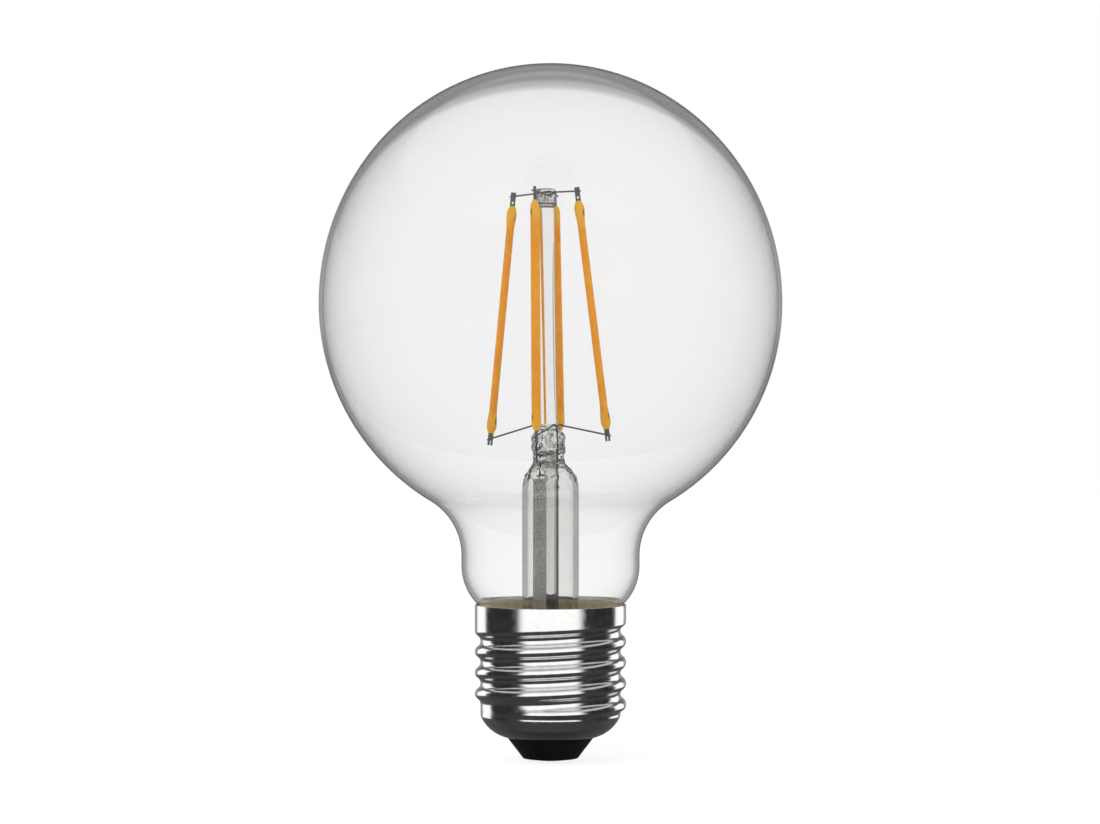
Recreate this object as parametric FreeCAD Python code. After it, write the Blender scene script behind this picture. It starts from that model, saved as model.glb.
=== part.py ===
import FreeCAD, Part

import math
import os

# Globe bulb with four light filaments on a glass stem and an Edison screw cap.
# Millimetres. The origin is the lowest point of the centre contact, +Z is the bulb's axis,
# and -Y is the side that the photograph shows. Angles are degrees from +X, counterclockwise.

# Screw cap
cap_height = 27.0
crest_radius = 13.1
thread_depth = 0.98
thread_pitch = 3.629
right_crest_height = 13.4
crest_fade_turns = 0.28
groove_fade_turns = 0.42
wall_blend = 0.8
collar_blend = 1.6
shell_thickness = 0.25
thread_seam = 0.2
collar_height = 2.4
rim_round = 0.1
shoulder_rise = 4.1
shoulder_bulge = 0.7
shoulder_fillet = 0.9
lip_radius = 7.6

# Contact and insulator at the bottom of the cap
contact_radius = 4.4
contact_rise = 0.5
eyelet_radius = 1.3
eyelet_bore = 0.6
insulator_foot_radius = 4.8
insulator_height = 3.6
insulator_floor = 1.4
insulator_step = 0.07

# Cement between the glass and the collar
cement_depth = 4.6
cement_below_rim = 0.5
cement_gap = 0.1

# Glass envelope
globe_radius = 40.0
crown_rise = 41.3
glass_wall = 0.8
neck_flare = 4.1
neck_straight = 1.7
neck_fillet = 11.0
neck_shoulder = 9.5
neck_reverse = 3.0
rim_clearance = 0.25
seal_gap = 0.57
tail_length = 10.0

# Glass stem
stem_radius = 4.9
stem_wall = 0.9
trumpet_height = 7.0
stem_height = 22.5
stem_shoulder = 6.0
press_half_width = 2.7
press_half_depth = 2.1
head_half_width = 2.98
head_half_depth = 2.3
press_height = 5.0
press_shift = -0.35
waist_share = 0.3
# Shares of the press's height, width and depth as its head rounds over
head_rounding = ((0.68, 1.0, 1.0), (0.9, 0.9, 0.9), (1.0, 0.62, 0.65))
exhaust_radius = 1.4
exhaust_bore = 0.7
exhaust_tail = 2.2
blow_hole_radius = 0.5
blow_hole_angle = 228.0
column_radius = 1.5
column_root = 1.0
button_radius = 1.85
button_height = 2.8
button_above_wire = 0.8
button_round = 0.45
lip_ring = 0.2
cage_lean = 0.82

# Light filaments
coat_length = 39.6
coat_width = 1.3
coat_depth = 1.6
bulge_width = 1.75
bulge_depth = 1.65
tip_width = 0.95
tip_depth = 0.72
bulge_rise = 1.4
bulge_taper = 2.8
strip_width = 0.8
strip_depth = 0.4
strip_inset = 0.6
tab_width = 0.85
tab_depth = 0.3
upper_tab_length = 2.4
lower_tab_length = 2.1
jaw_length = 1.0
jaw_depth = 0.12
tab_hole = 0.2
tab_hole_rise = 0.6
tab_slit = 0.22
filament_head_radius = 6.0
filament_foot_radius = 10.2
head_turn = -19.5
foot_turn = -13.0
foot_below_press = 0.5
upper_weld_rise = 1.7
lower_weld_drop = 1.15
weld_sink = 0.05

# Wires
support_wire = 0.15
inner_wire = 0.15
dumet_wire = 0.16
outer_wire = 0.18
weld_bead = 0.28
wire_overhang = 0.25
wire_gap = 0.05
lead_bend = 0.6
inner_lead_depth = 2.0
right_exit = (1.4, -1.0)
left_exit = (-1.85, -0.4)
right_arches = {"right": (2.7, -1.15), "front": (0.6, -2.0)}
left_arches = {"left": (-3.1, -0.4), "back": (-0.6, 2.5)}
arch_rise = 0.55
right_lead_angle = -63.0
left_lead_angle = -135.0
lead_turn_share = 0.4
dumet_below_press = 5.2
sleeve_below_press = 3.8
sleeve_clearance = 0.08
sleeve_wall = 0.6
sleeve_above_board = 1.0

# Driver inside the cap. Places and offsets are shares of the board's radius.
board_thickness = 1.0
board_clearance = 0.3
shell_lead_rise = 2.6
shell_lead_inset = 1.0
contact_lead_radius = 0.3
contact_lead_rise = 0.5
rectifier_size = (4.7, 3.8, 2.4)
rectifier_place = (-0.48, 0.27)
chip_size = (4.9, 3.9, 1.5)
chip_place = (0.48, 0.27)
package_bevel = 0.25
capacitor_radius = 2.5
capacitor_length = 9.0
capacitor_offset = -0.7
resistor_radius = 1.2
resistor_length = 6.5
resistor_offset = 0.72
component_round = 0.3
component_leg = 0.3
leg_gap = 0.8

# The four filaments by the side that each stands on, with how far each sits from the common height
sides = {"right": 0.0, "back": 90.0, "left": 180.0, "front": 270.0}
seat = {"right": 0.2, "back": 0.0, "left": -0.3, "front": 0.15}

# Heights and radii that follow from the sizes above
insulator_z = contact_rise
lip_z = insulator_z + insulator_height
wall_z = lip_z + shoulder_rise
collar_z = cap_height - collar_height
root_radius = crest_radius - thread_depth
shell_inside = crest_radius - shell_thickness
wall_inside = root_radius - shell_thickness
first_crest = (wall_z - right_crest_height) / thread_pitch
last_groove = (collar_z - right_crest_height) / thread_pitch - 0.5

tail_radius = wall_inside - seal_gap
neck_radius = tail_radius + neck_flare
seal_z = cap_height - tail_length
shoulder_x = neck_radius - neck_shoulder
rim_reach = shell_inside - rim_clearance - shoulder_x
shoulder_z = cap_height + math.sqrt(neck_shoulder ** 2 - rim_reach ** 2)
reverse_x = tail_radius + neck_reverse
reverse_z = shoulder_z - math.sqrt((neck_shoulder + neck_reverse) ** 2 - (reverse_x - shoulder_x) ** 2)
fillet_x = neck_radius + neck_fillet
fillet_z = shoulder_z + neck_straight
globe_z = fillet_z + math.sqrt((globe_radius + neck_fillet) ** 2 - fillet_x ** 2)

trumpet_z = seal_z + trumpet_height
press_base_z = trumpet_z + stem_height
press_z = press_base_z + stem_shoulder
press_top_z = press_z + press_height
dome_fall = stem_radius - press_half_width
dome_radius = (dome_fall ** 2 + stem_shoulder ** 2) / (2.0 * dome_fall)
dome_x = stem_radius - dome_radius
sleeve_top_z = press_z - sleeve_below_press
sleeve_room = dome_x + math.sqrt((dome_radius - stem_wall) ** 2 - max(sleeve_top_z - press_base_z, 0.0) ** 2)
lead_radius = (exhaust_radius + sleeve_room) / 2.0
sleeve_radius = (sleeve_room - exhaust_radius) / 2.0 - sleeve_clearance
board_z = lip_z + insulator_floor
board_top_z = board_z + board_thickness
foot_z = press_top_z - foot_below_press
roof_z = press_z - stem_wall
exhaust_tip_z = seal_z - stem_wall - exhaust_tail


def vector(x, y, z):
    return FreeCAD.Vector(x, y, z)


def section(radius, height):
    """Point in the half plane that a turned outline is drawn in."""
    return vector(radius, 0, height)


def polar(radius, angle, height):
    turn = math.radians(angle)
    return vector(radius * math.cos(turn), radius * math.sin(turn), height)


def line(start, end):
    return Part.LineSegment(start, end).toShape()


def arc(center, radius, start, end):
    """Edge round center in the outline's plane, between two directions."""
    points = []
    for angle in (start, (start + end) / 2.0, end):
        turn = math.radians(angle)
        points.append(center + section(radius * math.cos(turn), radius * math.sin(turn)))
    return Part.Arc(*points).toShape()


def quarter_ellipse(center, across, up):
    """Edge from the point above center to the point beside it."""
    edge = arc(section(0, 0), 1.0, 90.0, 0.0)
    stretch = FreeCAD.Matrix()
    stretch.scale(across, 1.0, up)
    edge = edge.transformGeometry(stretch)
    edge.translate(center)
    return edge


def polyline(points):
    return [line(start, end) for start, end in zip(points, points[1:])]


def turned(edges):
    """Solid turned from a closed outline."""
    face = Part.Face(Part.Wire(edges))
    return face.revolve(vector(0, 0, 0), vector(0, 0, 1), 360)


def tube(radius, bore, low, high):
    corners = [section(bore, low), section(radius, low), section(radius, high), section(bore, high)]
    return turned(polyline(corners + corners[:1]))


def ellipse_wire(half_width, half_depth, height, shift=0.0):
    """Closed ellipse in a level plane, wide along X."""
    circle = Part.Wire(Part.makeCircle(1.0))
    stretch = FreeCAD.Matrix()
    stretch.scale(half_width, half_depth, 1.0)
    wire = Part.Wire(circle.transformGeometry(stretch).Edges)
    wire.translate(vector(shift, 0, height))
    return wire


def rounded_path(points, radius):
    """Wire through points, with each corner rounded as far as its two runs allow."""
    edges = []
    start = points[0]
    for before, corner, after in zip(points, points[1:], points[2:]):
        back = (before - corner).normalize()
        ahead = (after - corner).normalize()
        half_turn = (math.pi - back.getAngle(ahead)) / 2.0
        reach = min(radius * math.tan(half_turn), 0.45 * min(before.distanceToPoint(corner),
                                                             after.distanceToPoint(corner)))
        bend = reach / math.tan(half_turn)
        inward = (back + ahead).normalize()
        middle = corner + inward * (bend / math.cos(half_turn) - bend)
        edges.append(line(start, corner + back * reach))
        edges.append(Part.Arc(corner + back * reach, middle, corner + ahead * reach).toShape())
        start = corner + ahead * reach
    edges.append(line(start, points[-1]))
    return Part.Wire(edges)


def wire_along(points, radius, bend=lead_bend):
    """Round wire that follows points with rounded corners."""
    path = rounded_path(points, bend)
    direction = points[1] - points[0]
    profile = Part.Wire(Part.makeCircle(radius, points[0], direction))
    return path.makePipeShell([profile], True, False)


def smooth(share):
    """Even ease from 0 to 1."""
    share = min(max(share, 0.0), 1.0)
    return share * share * (3.0 - 2.0 * share)


# Screw shell: one thin sheet with the round thread rolled through it

def thread_wave(turn):
    """Share of the thread's depth, 1 on a crest and 0 in a groove, from two equal arcs."""
    quarter = thread_pitch / 4.0
    arc_radius = (quarter ** 2 + thread_depth ** 2 / 4.0) / thread_depth
    from_crest = abs(turn - round(turn)) * thread_pitch
    if from_crest <= quarter:
        return 1.0 - (arc_radius - math.sqrt(arc_radius ** 2 - from_crest ** 2)) / thread_depth
    from_groove = thread_pitch / 2.0 - from_crest
    return (arc_radius - math.sqrt(arc_radius ** 2 - from_groove ** 2)) / thread_depth


def shell_radius(angle, height):
    """Outside radius of the rolled sheet. The first crest fades in and the last groove fades out."""
    turn = (height - right_crest_height) / thread_pitch - angle / 360.0
    crest = round(turn) + angle / 360.0
    groove = math.floor(turn) + 0.5 + angle / 360.0
    crest_share = smooth((crest - first_crest) / crest_fade_turns)
    groove_share = 1.0 - smooth((groove - last_groove) / groove_fade_turns)
    share = (1.0 - (1.0 - thread_wave(turn)) * groove_share) * crest_share
    share *= smooth((height - wall_z) / wall_blend)
    share = 1.0 - (1.0 - share) * smooth((collar_z - height) / collar_blend)
    return root_radius + thread_depth * share


def thread_faces(inset):
    """Four quarter faces of the thread's surface, inset square to the sheet."""
    quarter_columns = 12
    rows = math.ceil(16 * (collar_z - wall_z) / thread_pitch)
    step = 1e-6
    grid = []
    for column in range(-quarter_columns, 5 * quarter_columns + 1):
        angle = 90.0 * column / quarter_columns
        points = []
        for row in range(rows + 1):
            height = wall_z + (collar_z - wall_z) * row / rows
            slope = (shell_radius(angle, height + step) - shell_radius(angle, height - step)) / (2 * step)
            square = inset / math.hypot(1.0, slope)
            points.append(polar(shell_radius(angle, height) - square, angle, height + slope * square))
        grid.append(points)
    surface = Part.BSplineSurface()
    surface.interpolate(grid)
    knots = surface.getUKnots()
    faces = []
    for quarter in range(1, 5):
        patch = surface.copy()
        patch.segment(knots[quarter * quarter_columns], knots[(quarter + 1) * quarter_columns], 0.0, 1.0)
        faces.append(patch.toShape())
    return faces


def seam_faces(faces, height, radius, level):
    """Faces from the thread's edges at one height to the round wall at the next level."""
    reach = 1e-5
    seams = []
    for face in faces:
        for edge in face.Edges:
            if abs(edge.BoundBox.ZMin - height) < reach and abs(edge.BoundBox.ZMax - height) < reach:
                start, end = [math.degrees(math.atan2(corner.Point.y, corner.Point.x))
                              for corner in (edge.firstVertex(), edge.lastVertex())]
                end = start + (end - start + 180.0) % 360.0 - 180.0
                points = [polar(radius, angle, level) for angle in (start, (start + end) / 2.0, end)]
                seams.append(Part.makeRuledSurface(edge, Part.Arc(*points).toShape()))
    return seams


def quarter_turns(edges):
    """Faces that the edges sweep about the axis, in quarters like the thread's."""
    faces = []
    for edge in edges:
        for quarter in range(4):
            start = edge.copy()
            start.rotate(vector(0, 0, 0), vector(0, 0, 1), 90.0 * quarter)
            faces.append(start.revolve(vector(0, 0, 0), vector(0, 0, 1), 90))
    return faces


def shoulder_center():
    """Center and radius of the arc from the lip up to the plain wall, before its fillet."""
    low = section(lip_radius, lip_z)
    high = section(root_radius, wall_z - shoulder_fillet / 2.0)
    half = (high - low).Length / 2.0
    radius = (half ** 2 + shoulder_bulge ** 2) / (2.0 * shoulder_bulge)
    along = (high - low).normalize()
    inward = section(-along.z, along.x)
    return (low + high) * 0.5 + inward * (radius - shoulder_bulge), radius


def lip_direction():
    """Direction from the shoulder's center to the sheet's cut edge at the lip."""
    center, radius = shoulder_center()
    return math.degrees(math.asin((lip_z - center.z) / radius))


def lip_point(inset):
    """Point of the sheet's cut edge, inset from the outside."""
    center, radius = shoulder_center()
    turn = math.radians(lip_direction())
    return center + section((radius - inset) * math.cos(turn), (radius - inset) * math.sin(turn))


def shoulder_radius_at(height):
    """Inside radius of the shell on its shoulder."""
    center, radius = shoulder_center()
    return center.x + math.sqrt((radius - shell_thickness) ** 2 - (height - center.z) ** 2)


def shoulder_edges(inset):
    """Lip, shoulder, fillet and plain wall up to the seam, inset from the outside."""
    center, radius = shoulder_center()
    fillet_across = root_radius - shoulder_fillet - center.x
    fillet_up = -math.sqrt((radius - shoulder_fillet) ** 2 - fillet_across ** 2)
    fillet_center = center + section(fillet_across, fillet_up)
    meet = math.degrees(math.atan2(fillet_up, fillet_across))
    wall_start = section(root_radius - inset, fillet_center.z)
    return [arc(center, radius - inset, lip_direction(), meet),
            arc(fillet_center, shoulder_fillet - inset, meet, 0.0),
            line(wall_start, section(root_radius - inset, wall_z - thread_seam))]


def collar_edges():
    """Plain collar from the seam up, with a rounded rim."""
    low = collar_z + thread_seam
    high = cap_height - rim_round
    inner_round = section(shell_inside + rim_round, high)
    outer_round = section(crest_radius - rim_round, high)
    return [line(section(crest_radius, low), section(crest_radius, high)),
            arc(outer_round, rim_round, 0.0, 90.0),
            line(outer_round + section(0, rim_round), inner_round + section(0, rim_round)),
            arc(inner_round, rim_round, 90.0, 180.0),
            line(section(shell_inside, high), section(shell_inside, low))]


def screw_shell():
    """Foot, thread and collar sewn into one closed skin."""
    lip = line(lip_point(shell_thickness), lip_point(0.0))
    faces = quarter_turns(shoulder_edges(0.0) + shoulder_edges(shell_thickness) + [lip] + collar_edges())
    for inset in (0.0, shell_thickness):
        thread = thread_faces(inset)
        faces += thread
        faces += seam_faces(thread, wall_z, root_radius - inset, wall_z - thread_seam)
        faces += seam_faces(thread, collar_z, crest_radius - inset, collar_z + thread_seam)
    skin = Part.makeCompound(faces)
    skin.sewShape()
    return Part.Solid(skin.Shells[0]).removeSplitter()


def cap_insulator():
    """Black glass cone that closes the shell's foot and carries the centre contact."""
    center, radius = shoulder_center()
    inside = radius - shell_thickness
    floor_direction = math.degrees(math.asin((board_z - center.z) / inside))
    edges = polyline([section(eyelet_radius, insulator_z), section(insulator_foot_radius, insulator_z),
                      lip_point(insulator_step), lip_point(shell_thickness)])
    edges.append(arc(center, inside, lip_direction(), floor_direction))
    edges += polyline([section(shoulder_radius_at(board_z), board_z), section(eyelet_radius, board_z),
                       section(eyelet_radius, insulator_z)])
    return turned(edges)


def centre_contact():
    """Domed contact with an eyelet up through the insulator, its bore closed by solder below."""
    dome_radius = (contact_radius ** 2 + contact_rise ** 2) / (2.0 * contact_rise)
    edge_direction = -90.0 + math.degrees(math.asin(contact_radius / dome_radius))
    edges = [arc(section(0, dome_radius), dome_radius, -90.0, edge_direction)]
    edges += polyline([section(contact_radius, insulator_z), section(eyelet_radius, insulator_z),
                       section(eyelet_radius, board_z), section(eyelet_bore, board_z),
                       section(eyelet_bore, insulator_z), section(0, insulator_z), section(0, 0)])
    return turned(edges)


def envelope_edges(inset):
    """Wall of the envelope from the crown down to the tail, inset from the outside."""
    globe = section(0, globe_z)
    fillet = section(fillet_x, fillet_z)
    shoulder = section(shoulder_x, shoulder_z)
    reverse = section(reverse_x, reverse_z)
    to_fillet = math.degrees(math.atan2(fillet_z - globe_z, fillet_x))
    to_reverse = math.degrees(math.atan2(reverse_z - shoulder_z, reverse_x - shoulder_x))
    neck = neck_radius - inset
    tail = tail_radius - inset
    return [quarter_ellipse(globe, globe_radius - inset, crown_rise - inset),
            arc(globe, globe_radius - inset, 0.0, to_fillet),
            arc(fillet, neck_fillet + inset, to_fillet + 180.0, 180.0),
            line(section(neck, fillet_z), section(neck, shoulder_z)),
            arc(shoulder, neck_shoulder - inset, 0.0, to_reverse),
            arc(reverse, neck_reverse + inset, to_reverse + 180.0, 180.0),
            line(section(tail, reverse_z), section(tail, seal_z))]


def glass_globe():
    outside = envelope_edges(0.0)
    inside = envelope_edges(glass_wall)
    seal = line(section(tail_radius, seal_z), section(tail_radius - glass_wall, seal_z))
    crown = line(section(0, globe_z + crown_rise - glass_wall), section(0, globe_z + crown_rise))
    return turned(outside + [seal] + inside[::-1] + [crown])


def envelope_core():
    """Everything inside the envelope's outer surface, for cutting what lies against it."""
    outside = envelope_edges(0.0)
    axis = polyline([section(tail_radius, seal_z), section(0, seal_z), section(0, globe_z + crown_rise)])
    return turned(outside + axis)


def basing_cement():
    """Ring that fills the collar, with a thinner skirt down the tail."""
    ring_z = collar_z + thread_seam
    skirt = tube(wall_inside - cement_gap, tail_radius / 2.0, collar_z - cement_depth, ring_z)
    ring = tube(shell_inside, tail_radius / 2.0, ring_z, cap_height - cement_below_rim)
    return skirt.fuse(ring).cut(envelope_core()).removeSplitter()


# Glass stem: trumpet, tube, pinched press, exhaust tube, column and button, melted into one

def turned_stem():
    """Trumpet, tube, dome and the exhaust tube's rod, with its melted tip under the stem's rim."""
    rim = tail_radius - glass_wall
    trumpet = section(rim, trumpet_z)
    inside = stem_radius - stem_wall
    dome = section(dome_x, press_base_z)
    peak = press_half_depth - stem_wall / 2.0
    peak_direction = math.degrees(math.acos((peak - dome.x) / dome_radius))
    peak_z = press_base_z + dome_radius * math.sin(math.radians(peak_direction))
    roof_radius = dome_radius - stem_wall
    roof_direction = math.degrees(math.asin((roof_z - press_base_z) / roof_radius))
    roof_edge = dome.x + roof_radius * math.cos(math.radians(roof_direction))
    edges = polyline([section(0, exhaust_tip_z), section(0, peak_z), section(peak, peak_z)])
    edges += [arc(dome, dome_radius, peak_direction, 0.0),
              line(section(stem_radius, press_base_z), section(stem_radius, trumpet_z)),
              quarter_ellipse(trumpet, stem_radius - rim, -trumpet_height)]
    edges += polyline([section(rim, seal_z), section(tail_radius, seal_z),
                       section(tail_radius, seal_z - stem_wall), section(rim, seal_z - stem_wall)])
    edges += [quarter_ellipse(trumpet, inside - rim, -trumpet_height - stem_wall),
              line(section(inside, trumpet_z), section(inside, press_base_z)),
              arc(dome, roof_radius, 0.0, roof_direction)]
    edges += polyline([section(roof_edge, roof_z), section(exhaust_radius, roof_z),
                       section(exhaust_radius, exhaust_tip_z + exhaust_radius)])
    edges.append(arc(section(0, exhaust_tip_z + exhaust_radius), exhaust_radius, 0.0, -90.0))
    return turned(edges)


def press_body():
    """Pinched glass that grips the wires, waisted over the dome and rounded at its head."""
    foot = roof_z + stem_wall / 3.0
    rise = press_top_z - foot
    wires = []
    for share in (0.0, waist_share):
        wires.append(ellipse_wire(press_half_width, press_half_depth, foot + rise * share, press_shift))
    for share, width_share, depth_share in head_rounding:
        half_width = width_share * head_half_width
        half_depth = depth_share * head_half_depth
        wires.append(ellipse_wire(half_width, half_depth, foot + rise * share, press_shift))
    return Part.makeLoft(wires, True)


def stem_column(wire_z):
    """Solid column and button as they stand before the cage leans."""
    button_top = wire_z + button_above_wire
    button_foot = button_top - button_height
    inset = button_round
    root_z = press_top_z - column_root
    edges = [line(section(0, root_z), section(column_radius, root_z)),
             line(section(column_radius, root_z), section(column_radius, button_foot - 2 * lip_ring)),
             arc(section(column_radius, button_foot - lip_ring), lip_ring, -90.0, 90.0),
             line(section(column_radius, button_foot), section(button_radius - inset, button_foot)),
             arc(section(button_radius - inset, button_foot + inset), inset, -90.0, 0.0),
             line(section(button_radius, button_foot + inset), section(button_radius, button_top - inset)),
             arc(section(button_radius - inset, button_top - inset), inset, 0.0, 90.0)]
    edges += polyline([section(button_radius - inset, button_top), section(0, button_top),
                       section(0, root_z)])
    return turned(edges)


def lean(shape):
    """The cage stands on the press's top and leans to the left."""
    foot = vector(press_shift, 0, press_top_z)
    leaned = shape.copy()
    leaned.translate(vector(press_shift, 0, 0))
    leaned.rotate(foot, vector(0, 1, 0), -cage_lean)
    return leaned


def lean_point(point):
    return lean(Part.Vertex(point)).Point


def glass_stem(wire_z, wires):
    turn = math.radians(blow_hole_angle)
    hole_start = vector(press_shift, 0, press_z + blow_hole_radius)
    outward = vector(math.cos(turn), math.sin(turn), 0)
    blow_hole = Part.makeCylinder(blow_hole_radius, stem_radius, hole_start, outward)
    bore_low = exhaust_tip_z + 2 * exhaust_radius
    bore_length = hole_start.z + exhaust_bore - bore_low
    bore = Part.makeCylinder(exhaust_bore, bore_length, vector(0, 0, bore_low))
    body = turned_stem().fuse((press_body(), lean(stem_column(wire_z))))
    return body.cut((bore, blow_hole, *wires)).Solids[0]


# Light filaments, each made upright at the origin and then set between its two welds

def coat_sections():
    """Level sections of the coat's swollen end, from its tip up to the even part."""
    steps = 4
    wires = []
    for step in range(steps):
        swell = math.sin(math.pi / 2.0 * step / steps)
        half_width = (tip_width + (bulge_width - tip_width) * swell) / 2.0
        half_depth = (tip_depth + (bulge_depth - tip_depth) * swell) / 2.0
        wires.append(ellipse_wire(half_width, half_depth, bulge_rise * step / steps))
    for step in range(steps + 1):
        ease = smooth(step / steps)
        half_width = (bulge_width + (coat_width - bulge_width) * ease) / 2.0
        half_depth = (bulge_depth + (coat_depth - bulge_depth) * ease) / 2.0
        wires.append(ellipse_wire(half_width, half_depth, bulge_rise + bulge_taper * step / steps))
    return wires


def upside_down(shape):
    """Copy for the filament's other end."""
    flipped = shape.copy()
    flipped.rotate(vector(0, 0, coat_length / 2.0), vector(1, 0, 0), 180)
    return flipped


def phosphor_coat():
    """Coat moulded round the strip and the tabs' inner ends."""
    sections = coat_sections()
    swollen = Part.makeLoft(sections, False)
    even = sections[-1].extrude(vector(0, 0, coat_length - 2 * (bulge_rise + bulge_taper)))
    end = tab_end(0.0)
    core = ceramic_strip().fuse((end, upside_down(end)))
    faces = swollen.Faces + even.Faces + upside_down(swollen).Faces
    mouths = [face for face in core.Faces if face.BoundBox.ZMax < strip_inset / 2.0]
    far_mouths = [face for face in core.Faces if face.BoundBox.ZMin > coat_length - strip_inset / 2.0]
    inner = [face for face in core.Faces if not any(face.isSame(mouth) for mouth in mouths + far_mouths)]
    cap = Part.makeFace([sections[0], mouths[0].OuterWire], "Part::FaceMakerBullseye")
    faces += inner
    faces += [cap, upside_down(cap)]
    skin = Part.makeCompound(faces)
    skin.sewShape()
    return Part.Solid(skin.Shells[0])


def centred_box(width, depth, low, high):
    return Part.makeBox(width, depth, high - low, vector(-width / 2.0, -depth / 2.0, low))


def ceramic_strip():
    return centred_box(strip_width, strip_depth, strip_inset, coat_length - strip_inset)


def tab_end(length):
    """Blade of a tab that stands out of the coat by length, with its two jaws."""
    blade = centred_box(tab_width, tab_depth, -length, strip_inset)
    across = strip_depth + 2 * jaw_depth
    jaws = centred_box(tab_width, across, strip_inset - jaw_depth, strip_inset + jaw_length)
    return blade.fuse(jaws)


def metal_tab(length):
    """Flat end tab whose two jaws hold the strip's end inside the coat."""
    return tab_end(length).cut(ceramic_strip())


def lower_tab():
    """Tab with a slit that splits its free end in two prongs."""
    slit = centred_box(tab_slit, 2 * tab_depth, -lower_tab_length, -lower_weld_drop - inner_wire)
    return metal_tab(lower_tab_length).cut(slit)


def upper_tab():
    """Tab with a round hole just outside the coat."""
    hole = Part.makeCylinder(tab_hole, 2 * tab_depth, vector(0, tab_depth, -tab_hole_rise), vector(0, -1, 0))
    return upside_down(metal_tab(upper_tab_length).cut(hole))


def filament_frame(side):
    """Placement of a filament between its foot and its head, beside the wires that it is welded to."""
    foot = polar(filament_foot_radius, sides[side] + foot_turn, foot_z + seat[side])
    flat_head = polar(filament_head_radius, sides[side] + head_turn, foot.z)
    rise = math.sqrt(coat_length ** 2 - foot.distanceToPoint(flat_head) ** 2)
    along = (flat_head + vector(0, 0, rise) - foot).normalize()
    middle = (foot + flat_head) * 0.5
    outward = vector(middle.x, middle.y, 0)
    beside = along.cross(outward).normalize()
    turn = FreeCAD.Rotation(beside.cross(along), beside, along, "ZYX")
    return FreeCAD.Placement(foot, turn), beside


def placed(shape, side):
    frame, beside = filament_frame(side)
    reach = tab_depth / 2.0 + inner_wire - weld_sink
    moved = shape.copy()
    moved.Placement = FreeCAD.Placement(beside * reach, FreeCAD.Rotation()) * frame * moved.Placement
    return lean(moved)


def weld_point(side, along):
    """Where a wire's middle line passes a filament's tab, before the cage leans."""
    return filament_frame(side)[0].multVec(vector(0, 0, along))


def past(start, end, overhang):
    """Point beyond end on the level line from start."""
    ahead = vector(end.x - start.x, end.y - start.y, 0).normalize()
    return end + ahead * overhang


# Wires

def wire_height():
    """Height at which the support wires cross inside the button."""
    heights = [weld_point(side, coat_length + upper_weld_rise).z for side in sides]
    return sum(heights) / len(heights)


def support_wire_between(side, opposite, height):
    """Wire through the button from one filament's upper tab to the opposite one's."""
    center = vector(0, 0, height)
    ends = []
    for name in (side, opposite):
        weld = weld_point(name, coat_length + upper_weld_rise)
        ends.append(past(center, weld, tab_width / 2.0 + wire_overhang))
    return lean(wire_along([ends[0], center, ends[1]], support_wire, 4 * lead_bend))


def press_point(place, height):
    """Point in the press, counted across from the press's middle."""
    return vector(press_shift + place[0], place[1], height)


def lead_arm(exit_place, side, arch_place):
    """Arm from inside the press over an arch and down to a filament's lower tab."""
    start = press_point(exit_place, press_top_z - inner_lead_depth)
    arch = press_point(arch_place, press_top_z + arch_rise)
    up = press_point(exit_place, press_top_z + arch_rise)
    weld = lean_point(weld_point(side, -lower_weld_drop))
    end = past(arch, weld, tab_width / 2.0 + wire_overhang)
    before = past(weld, weld + (arch - weld), tab_width)
    return wire_along([start, up, arch, before, end], inner_wire)


def inner_leads():
    """Each lead splits in the press's top into an arm for each of two filaments."""
    leads = {}
    for name, exit_place, arches in (("right", right_exit, right_arches), ("left", left_exit, left_arches)):
        arms = [lead_arm(exit_place, side, place) for side, place in arches.items()]
        leads["inner_lead_" + name] = arms[0].fuse(arms[1]).removeSplitter()
    return leads


def lead_foot(angle):
    return polar(lead_radius, angle, 0)


def dumet_wire_along(exit_place, angle):
    """Sealing wire from its weld in the stem's tube up into the press."""
    foot = lead_foot(angle)
    low = press_z - dumet_below_press
    turn_z = press_base_z + lead_turn_share * stem_shoulder
    points = [foot + vector(0, 0, low), foot + vector(0, 0, turn_z),
              press_point(exit_place, press_z), press_point(exit_place, press_top_z - inner_lead_depth)]
    return wire_along(points, dumet_wire, 2 * lead_bend)


def outer_lead(angle):
    """Copper wire from the driver board up to a weld bead at the sealing wire's end."""
    foot = lead_foot(angle)
    top = press_z - dumet_below_press
    shape = Part.makeCylinder(outer_wire, top - board_z, foot + vector(0, 0, board_z))
    bead = Part.makeSphere(weld_bead, foot + vector(0, 0, top))
    return shape.fuse(bead)


def insulating_sleeve():
    """Braided sleeve over the left lead, up to just under the press."""
    foot = lead_foot(left_lead_angle)
    low = board_top_z + sleeve_above_board
    height = sleeve_top_z - low
    outside = Part.makeCylinder(sleeve_radius, height, foot + vector(0, 0, low))
    inside = Part.makeCylinder(sleeve_radius - sleeve_wall, height, foot + vector(0, 0, low))
    return outside.cut(inside)


# Driver on a round board that sits on the insulator

def board_radius():
    return shoulder_radius_at(board_z) - board_clearance


def driver_board(leads):
    board = Part.makeCylinder(board_radius(), board_thickness, vector(0, 0, board_z))
    return board.cut(leads)


def package(size, place):
    """Moulded package with bevelled upper edges."""
    body = centred_box(size[0], size[1], board_top_z, board_top_z + size[2])
    top_edges = [edge for edge in body.Edges if edge.BoundBox.ZMin > board_top_z + size[2] / 2.0]
    body = body.makeChamfer(package_bevel, top_edges)
    body.translate(vector(place[0], place[1], 0) * board_radius())
    return body


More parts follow.
